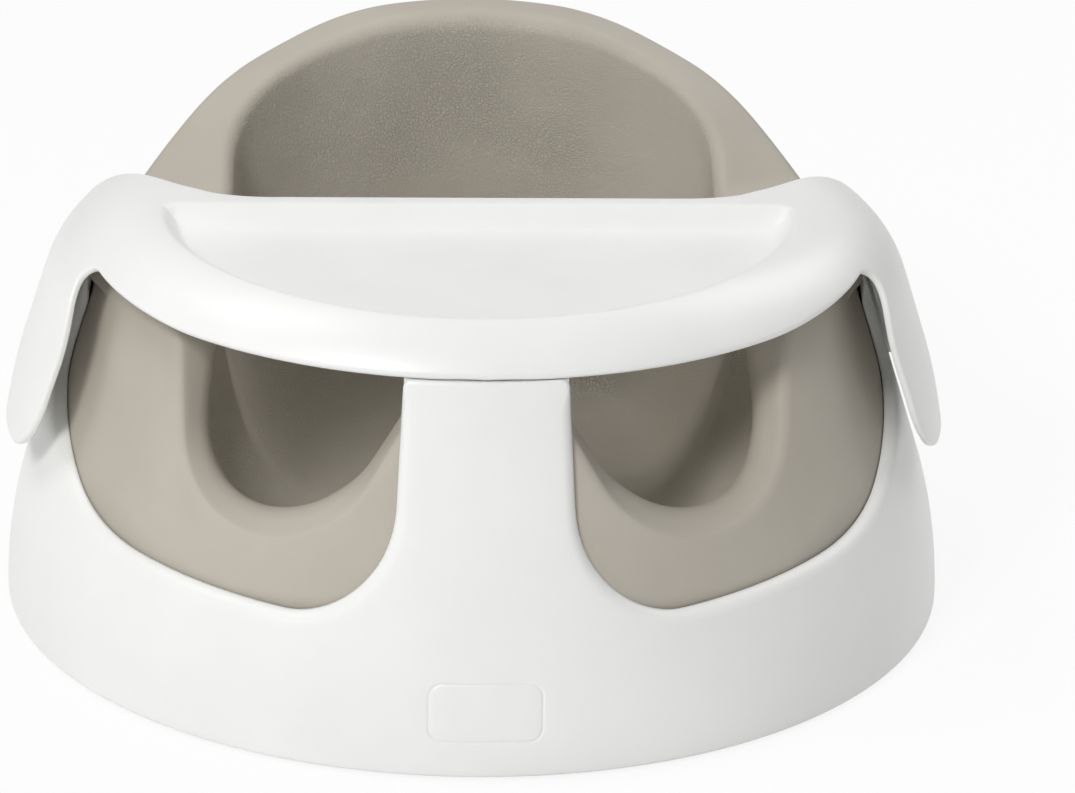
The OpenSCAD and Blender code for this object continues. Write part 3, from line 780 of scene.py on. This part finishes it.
def foam_mesh():
    half, bowl = foam_rows()
    loop = np.concatenate([half, (half * [-1, 1, 1])[:, -2:0:-1]], axis=1)
    rows, n = loop.shape[:2]
    points = np.vstack([loop.reshape(-1, 3), [[0, 0, FOAM_BASE_Z], [0, SEAT_Y, SEAT_Z - SEAT_DISH]]])
    faces = bands(0, rows, n)
    last = (rows - 1) * n
    for i in range(n):
        j = (i + 1) % n
        faces += [[rows * n, j, i], [rows * n + 1, last + i, last + j]]
    return mesh_object("foam_seat", points, faces, bowl=np.append(np.repeat(bowl, n), [0, 1]))


foam = foam_mesh()


# ---------- shelf, stud and screw bosses of the shell

def shelf_plate():
    """Flat shelf behind the column's lip: a disc cut to its width and depth, its two rear corners rounded."""
    r = float(side_x(SHELF_Z)) - 2.2
    back, half = -(r + 2.2 - SHELF_REACH), COLUMN_W / 2 - 0.2
    plate = fresh(bpy.ops.mesh.primitive_cylinder_add, vertices=360, radius=r * MM, depth=3 * MM,
                  location=(0, 0, (SHELF_Z - 1.55) * MM))
    bpy.ops.object.mode_set(mode="EDIT")
    for at, out in (((half, 0, 0), (1, 0, 0)), ((-half, 0, 0), (-1, 0, 0)), ((0, back, 0), (0, 1, 0))):
        bpy.ops.mesh.select_all(action="SELECT")
        bpy.ops.mesh.bisect(plane_co=[v * MM for v in at], plane_no=out, use_fill=True, clear_outer=True)
    pick(plate, "EDGE", lambda a, b: abs(a.x - b.x) < 0.01 and abs(a.y - b.y) < 0.01 and a.y > back - 0.1)
    bpy.ops.mesh.bevel(offset=8 * MM, segments=8)
    close_edit(plate)
    finish_with(plate, "BEVEL", width=0.5 * MM, segments=2, limit_method="ANGLE", angle_limit=math.radians(50))
    return plate


def round_post(radius, low, high, round_over, x=0.0, y=0.0, around=64):
    """A round post with its upper edge rounded over."""
    post = fresh(bpy.ops.mesh.primitive_cylinder_add, vertices=around, radius=radius * MM,
                 depth=(high - low) * MM, location=(x * MM, y * MM, (high + low) / 2 * MM))
    pick(post, "EDGE", lambda a, b: abs(a.z - high) < 0.01 and abs(b.z - high) < 0.01)
    bpy.ops.mesh.bevel(offset=round_over * MM, segments=5)
    return close_edit(post)


def boss():
    """One screw boss with its hole and the web that ties it to the wall, on the +X side."""
    post = round_post(5, BOSS_LOW, BOSS_TOP, 0.6, SCREW_R, 0, 32)
    edit(post)
    pick(post, "FACE", lambda c, n: n.z < -0.9)
    inset_up(3.6, 17)
    close_edit(post)
    web = fresh(bpy.ops.mesh.primitive_cube_add, size=1, location=((SCREW_R + 7) * MM, 0, 19.5 * MM),
                scale=(7 * MM, 2.5 * MM, 21 * MM))
    finish_with(web, "BEVEL", width=0.4 * MM, segments=2)
    return joined("boss", post, web)


stud = round_post(STUD_R, SHELF_Z - 0.6, STUD_TOP, 2.0, 0, STUD_Y)
shelf = joined("shelf", shelf_plate(), stud)
bosses = copies(boss(), "screw_bosses", SCREW_PLACES)


# ---------- socket of the tray

def socket():
    """Round socket under the dish that drops over the stud."""
    ring = round_post(STUD_R + 2.5, SHELF_Z + 0.5, TRAY_TOP - DISH_DEPTH - 1, 0.3, 0, STUD_Y)
    pick(ring, "FACE", lambda c, n: n.z < -0.9)
    inset_up(2, STUD_TOP + 1.2 - SHELF_Z)
    return close_edit(ring)


tray = joined("tray_shell", tray, ribs(), socket())


# ---------- feet, screws and pegs

def foot():
    """Rubber foot: a flat disc with a rounded edge and a shallow ring round its middle."""
    pad = fresh(bpy.ops.mesh.primitive_cylinder_add, vertices=48, radius=FOOT_R * MM, depth=FOOT_H * MM,
                location=(FOOT_REACH * MM, 0, FOOT_H / 2 * MM))
    pick(pad, "EDGE", lambda a, b: a.z < 0.01 and b.z < 0.01)
    bpy.ops.mesh.bevel(offset=1.2 * MM, segments=4)
    pick(pad, "FACE", lambda c, n: n.z < -0.9 and c.z < 0.01)
    for step, drop in ((3.4, 0), (0.5, 0.6), (1.2, 0), (0.5, -0.6)):
        bpy.ops.mesh.inset(thickness=step * MM)
        if drop:
            bpy.ops.transform.translate(value=(0, 0, drop * MM))
    return close_edit(pad)


def screw():
    """Pan-head screw seen from below: domed head with a cross recess, plain shank."""
    head = fresh(bpy.ops.mesh.primitive_cylinder_add, vertices=24, radius=3.25 * MM, depth=2.2 * MM,
                 location=(SCREW_R * MM, 0, 4.9 * MM))
    pick(head, "EDGE", lambda a, b: a.z < 3.81 and b.z < 3.81)
    bpy.ops.mesh.bevel(offset=0.9 * MM, segments=4)
    pick(head, "FACE", lambda c, n: n.z > 0.9)
    inset_up(1.85, 15.5)
    bpy.ops.mesh.extrude_region_move(TRANSFORM_OT_translate={"value": (0, 0, 0.9 * MM)})
    bpy.ops.transform.resize(value=(0.35, 0.35, 1))
    close_edit(head)
    for turn in (0, 90):
        bpy.ops.object.select_all(action="DESELECT")
        bpy.ops.mesh.primitive_cube_add(size=1, location=(SCREW_R * MM, 0, 3.9 * MM),
                                        scale=(3.6 * MM, 0.8 * MM, 2.4 * MM), rotation=(0, 0, math.radians(turn)))
        bar = bpy.context.object
        finish_with(head, "BOOLEAN", object=bar, operation="DIFFERENCE", solver="EXACT")
        bpy.data.objects.remove(bar)
    return head


def peg():
    """Push-in peg turned about its axis: flat head under the foam, shank through the pan, snap end."""
    outline = [(0, 24), (12.4, 24), (13, 23.4), (13, 22.02), (3.7, 22.02), (3.7, 19.2), (4.7, 18.7), (4.6, 18.2),
               (2.2, 10.4), (1.6, 10), (0, 10)]
    pin = fresh(bpy.ops.mesh.primitive_circle_add, vertices=len(outline), radius=MM)
    for v, (x, z) in zip(pin.data.vertices, outline):
        v.co = (x * MM, 0, z * MM)
    edit(pin, "VERT")
    pick(pin, "EDGE", lambda a, b: abs(a.x) < 0.001 and abs(b.x) < 0.001)
    bpy.ops.mesh.delete(type="EDGE")
    bpy.ops.mesh.select_all(action="SELECT")
    bpy.ops.mesh.spin(steps=40, angle=2 * math.pi, center=(0, 0, 0), axis=(0, 0, 1))
    bpy.ops.mesh.select_all(action="SELECT")
    bpy.ops.mesh.remove_doubles(threshold=0.00001)
    return close_edit(pin)


feet = copies(foot(), "feet", FOOT_PLACES)
screws = copies(screw(), "screws", SCREW_PLACES)
pegs = copies(peg(), "pegs", PEG_PLACES)


# ---------- materials

def hex_colour(code):
    """sRGB hex to linear colour."""
    made = []
    for k in (0, 2, 4):
        c = int(code[k:k + 2], 16) / 255
        made.append(c / 12.92 if c <= 0.04045 else ((c + 0.055) / 1.055) ** 2.4)
    return (*made, 1.0)


def node(tree, kind, settings=None, links=None, stops=(), **inputs):
    """Adds a node, sets its properties, colour stops (place, sRGB hex) and inputs, and links its sockets; a node
    given as a link's source stands for its first output."""
    made = tree.nodes.new("ShaderNode" + kind)
    for key, value in (settings or {}).items():
        setattr(made, key, value)
    for key, value in inputs.items():
        key = int(key[1:]) if key[0] == "i" and key[1:].isdigit() else key.replace("_", " ")
        made.inputs[key].default_value = value
    for key, source in (links or {}).items():
        tree.links.new(getattr(source, "outputs", [source])[0], made.inputs[key])
    for k, (place, code) in enumerate(stops):
        made.color_ramp.elements[k].position = place
        made.color_ramp.elements[k].color = hex_colour(code)
    return made


def new_material(name):
    """A material without nodes, and its node tree."""
    made = bpy.data.materials.new(name)
    made.use_nodes = True
    made.node_tree.nodes.clear()
    return made, made.node_tree


def moulded_plastic(name, light, dark, roughness, grit, depth):
    """Injection-moulded plastic: a satin skin with very fine grit from the mould and faint cloudiness from the melt."""
    made, tree = new_material(name)
    at = node(tree, "TexCoord").outputs["Object"]
    cloud = node(tree, "TexNoise", links={"Vector": at}, Scale=14.0, Detail=3.0, Roughness=0.5)
    colour = node(tree, "ValToRGB", links={"Fac": cloud}, stops=[(0.35, dark), (0.65, light)])
    # Grit of about 0.6 mm, coarser than the real mould's so that it shows at this size
    fine = node(tree, "TexNoise", links={"Vector": at}, Scale=1000 / grit, Detail=2.0, Roughness=0.6)
    flow = node(tree, "TexNoise", links={"Vector": at}, Scale=60.0, Detail=1.0)
    bump = node(tree, "Bump", links={"Height": fine}, Strength=depth, Distance=0.0001)
    wave = node(tree, "Bump", links={"Height": flow, "Normal": bump}, Strength=0.06, Distance=0.0006)
    sheen = node(tree, "MapRange", links={"Value": cloud}, To_Min=roughness - 0.04, To_Max=roughness + 0.05)
    skin = node(tree, "BsdfPrincipled", links={"Base Color": colour, "Normal": wave, "Roughness": sheen}, IOR=1.49)
    node(tree, "OutputMaterial", links={"Surface": skin})
    return made


def skinned_foam():
    """Polyurethane foam moulded with its own skin: smooth and matte on the rim, finely creased in the bowl."""
    made, tree = new_material("integral_skin_foam")
    at = node(tree, "TexCoord").outputs["Object"]
    bowl = node(tree, "Attribute", {"attribute_name": "bowl"}).outputs["Fac"]
    cloud = node(tree, "TexNoise", links={"Vector": at}, Scale=9.0, Detail=4.0, Roughness=0.55)
    # The seat's tones are a little lighter than the rim's: painted light that brightens the shaded bowl, while the real
    # foam is one colour throughout
    rim, seat = (node(tree, "ValToRGB", links={"Fac": cloud}, stops=[(0.35, dark), (0.65, light)])
                 for dark, light in (("b7b0a4", "bfb9ad"), ("b8b2a5", "c1bbae")))
    colour = node(tree, "Mix", {"data_type": "RGBA"}, links={"Factor": bowl, "A": rim, "B": seat})
    # Creases 1 to 2 mm apart, as in fine leather, over pores of about half a millimetre
    crease = node(tree, "TexVoronoi", {"feature": "DISTANCE_TO_EDGE"}, links={"Vector": at},
                  Scale=620.0, Randomness=1.0)
    pores = node(tree, "TexNoise", links={"Vector": at}, Scale=1400.0, Detail=3.0)
    patch = node(tree, "TexNoise", links={"Vector": at}, Scale=16.0, Detail=2.0)
    amount = node(tree, "MapRange", links={"Value": patch}, From_Min=0.35, From_Max=0.65, To_Min=0.25, To_Max=0.7)
    height = node(tree, "MapRange", links={"Value": crease}, From_Max=0.12)
    for share in (bowl, amount):
        height = node(tree, "Math", {"operation": "MULTIPLY"}, links={0: height, 1: share})
    bump = node(tree, "Bump", links={"Height": pores}, Strength=0.12, Distance=0.0002)
    lines = node(tree, "Bump", links={"Height": height, "Normal": bump}, Strength=0.7, Distance=0.0006)
    rough = node(tree, "MapRange", links={"Value": bowl}, To_Min=0.68, To_Max=0.5)
    skin = node(tree, "BsdfPrincipled", links={"Base Color": colour.outputs["Result"], "Normal": lines,
                                               "Roughness": rough}, IOR=1.45)
    node(tree, "OutputMaterial", links={"Surface": skin})
    return made


def zinc_steel():
    """Zinc-plated steel: bright bluish metal with a fine turned finish."""
    made, tree = new_material("zinc_plated_steel")
    at = node(tree, "TexCoord").outputs["Object"]
    grain = node(tree, "TexNoise", links={"Vector": at}, Scale=900.0, Detail=3.0)
    colour = node(tree, "ValToRGB", links={"Fac": grain}, stops=[(0.3, "a9adb0"), (0.7, "c6cacc")])
    rough = node(tree, "MapRange", links={"Value": grain}, To_Min=0.25, To_Max=0.42)
    metal = node(tree, "BsdfPrincipled", links={"Base Color": colour, "Roughness": rough}, Metallic=1.0)
    node(tree, "OutputMaterial", links={"Surface": metal})
    return made


def moulded_rubber():
    """Thermoplastic rubber: matte grey with a dusty bloom in its pores."""
    made, tree = new_material("moulded_rubber")
    at = node(tree, "TexCoord").outputs["Object"]
    bloom = node(tree, "TexNoise", links={"Vector": at}, Scale=260.0, Detail=4.0)
    colour = node(tree, "ValToRGB", links={"Fac": bloom}, stops=[(0.3, "5d5e60"), (0.7, "707173")])
    bump = node(tree, "Bump", links={"Height": bloom}, Strength=0.25, Distance=0.0002)
    rubber = node(tree, "BsdfPrincipled", links={"Base Color": colour, "Normal": bump}, Roughness=0.8, IOR=1.5)
    node(tree, "OutputMaterial", links={"Surface": rubber})
    return made


def give(obj, material):
    obj.data.materials.clear()
    obj.data.materials.append(material)


white = moulded_plastic("moulded_polypropylene", "f5f5f3", "f1f2f0", 0.36, 0.6, 0.10)
for piece in (shell, shelf, bosses, tray):
    give(piece, white)
give(foam, skinned_foam())
give(feet, moulded_rubber())
give(screws, zinc_steel())
give(pegs, moulded_plastic("moulded_nylon", "47484a", "3f4042", 0.45, 0.8, 0.2))
pan_plastic = moulded_plastic("recycled_polypropylene", "d9dad8", "d2d3d1", 0.5, 1.0, 0.3)
for o in bpy.data.objects:
    if o.name.startswith("base_pan") and o.type == "MESH":
        give(o, pan_plastic)


# ---------- bodies

for piece in (shell, shelf, bosses, foam, feet, screws, pegs):
    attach(piece, "seat")
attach(tray, "tray")
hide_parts("base_shell")
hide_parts("base_shell")
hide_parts("base_shell")
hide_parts("seat_foam")
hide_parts("tray")
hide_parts("foot_front_left", "foot_front_right", "foot_mid_left", "foot_mid_right",
            "foot_rear_left", "foot_rear_right")
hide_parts("pan_screws")
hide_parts("foam_pegs")


# ---------- floor, light and camera

def seen_by(tree, *rays):
    """1 where one of these kinds of ray looks, 0 elsewhere."""
    kinds = node(tree, "LightPath").outputs
    made = kinds[rays[0]]
    for ray in rays[1:]:
        made = node(tree, "Math", {"operation": "MAXIMUM"}, links={0: made, 1: kinds[ray]})
    return made


def floor_plane(glow):
    """White floor that glows by itself where the camera sees it, so that it runs into the background."""
    plane = fresh(bpy.ops.mesh.primitive_plane_add, size=12)
    plane.name = plane.data.name = "floor"
    made, tree = new_material("floor_white")
    seen = seen_by(tree, "Is Camera Ray", "Is Glossy Ray", "Is Transmission Ray")
    part = node(tree, "Math", {"operation": "MULTIPLY"}, links={0: seen}, i1=glow)
    lit = node(tree, "BsdfDiffuse", Color=hex_colour("f4f4f3"))
    own = node(tree, "Emission", Color=(1, 1, 1, 1), Strength=1.0)
    mix = node(tree, "MixShader", links={0: part, 1: lit, 2: own})
    node(tree, "OutputMaterial", links={"Surface": mix})
    give(plane, made)


def lamp(name, place, size, power):
    """Square area light at a place, in metres, that looks at the middle of the seat."""
    data = bpy.data.lights.new(name, "AREA")
    data.shape, data.size, data.energy = "SQUARE", size, power
    made = bpy.data.objects.new(name, data)
    made.location = place
    made.rotation_euler = (Vector((0, 0, 0.1)) - Vector(place)).to_track_quat("-Z", "Y").to_euler()
    bpy.context.scene.collection.objects.link(made)


def soft_world(strength):
    """Even white light from all round, in front of a plain white background."""
    world = bpy.data.worlds.new("studio")
    bpy.context.scene.world = world
    world.use_nodes = True
    tree = world.node_tree
    tree.nodes.clear()
    room, shown = (node(tree, "Background", Color=(1, 1, 1, 1), Strength=power) for power in (strength, 1.0))
    seen = seen_by(tree, "Is Camera Ray", "Is Transmission Ray")
    mix = node(tree, "MixShader", links={0: seen, 1: room, 2: shown})
    node(tree, "OutputWorld", links={"Surface": mix})


def set_camera():
    """The photograph's camera, from the fit of the model to it."""
    turn, rise, tilt, away = math.radians(-2.54), math.radians(22.1), math.radians(1.09), 2.0
    focal, picture, sensor = 4678, 1075, 36.0       # focal length and picture width in pixels, sensor width in mm
    data = bpy.data.cameras.new("camera")
    data.sensor_fit, data.sensor_width, data.lens = "HORIZONTAL", sensor, focal / picture * sensor
    data.clip_end = 50
    made = bpy.data.objects.new("camera", data)
    target = Vector((0.0269, 0, 0.0827))
    back = Vector((math.sin(turn) * math.cos(rise), -math.cos(turn) * math.cos(rise), math.sin(rise)))
    made.location = target + away * back
    made.rotation_euler = ((-back).to_track_quat("-Z", "Y") @ Quaternion((0, 0, 1), tilt)).to_euler()
    bpy.context.scene.collection.objects.link(made)
    bpy.context.scene.camera = made


floor_plane(0.88)
soft_world(0.33)
lamp("key", (-0.96, -1.66, 1.61), 0.6, 27)
lamp("side", (-1.16, 0.2, 2.21), 0.9, 12)
lamp("rear", (1.35, 1.14, 1.77), 1.2, 15)
set_camera()

for o in list(bpy.data.objects):
    if o.name in ("Cube", "Light", "Camera"):
        bpy.data.objects.remove(o)
bpy.context.scene.view_settings.view_transform = "Standard"
